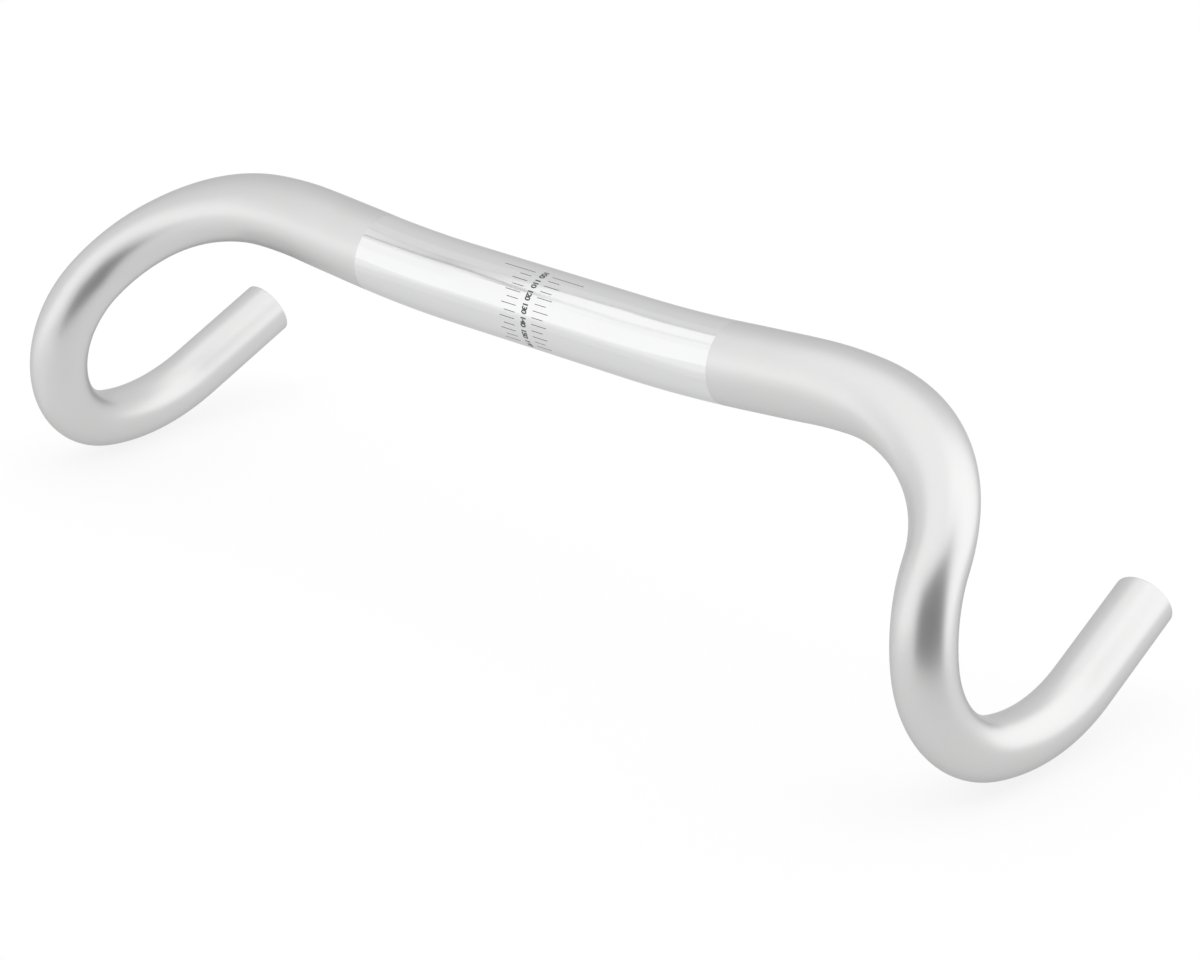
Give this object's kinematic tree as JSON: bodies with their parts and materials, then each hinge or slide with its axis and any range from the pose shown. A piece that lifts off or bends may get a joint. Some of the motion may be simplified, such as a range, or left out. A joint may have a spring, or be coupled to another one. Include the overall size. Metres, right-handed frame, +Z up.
{
  "type": "drop handlebar",
  "caption": "Bent aluminium drop handlebar with a wide round clamp zone, shoulders pressed flat, and short flared drops that end in straight tails.",
  "frame": {"origin": "centre of the clamp zone, on the axis of its straight tube, midway between the two drops", "axes": "+X along the clamp zone, across the bar to the rider's left when the bar is fitted; -Y forwards, to the hooks; +Z up, with the bar resting on its two lower bends"},
  "size_m": [0.487, 0.1432, 0.1331],
  "materials": {
    "handlebar": "bead-blasted matte, with a polished band round the middle"
  },
  "bodies": {
    "root": {"handlebar": "handlebar"}
  },
  "joints": []
}
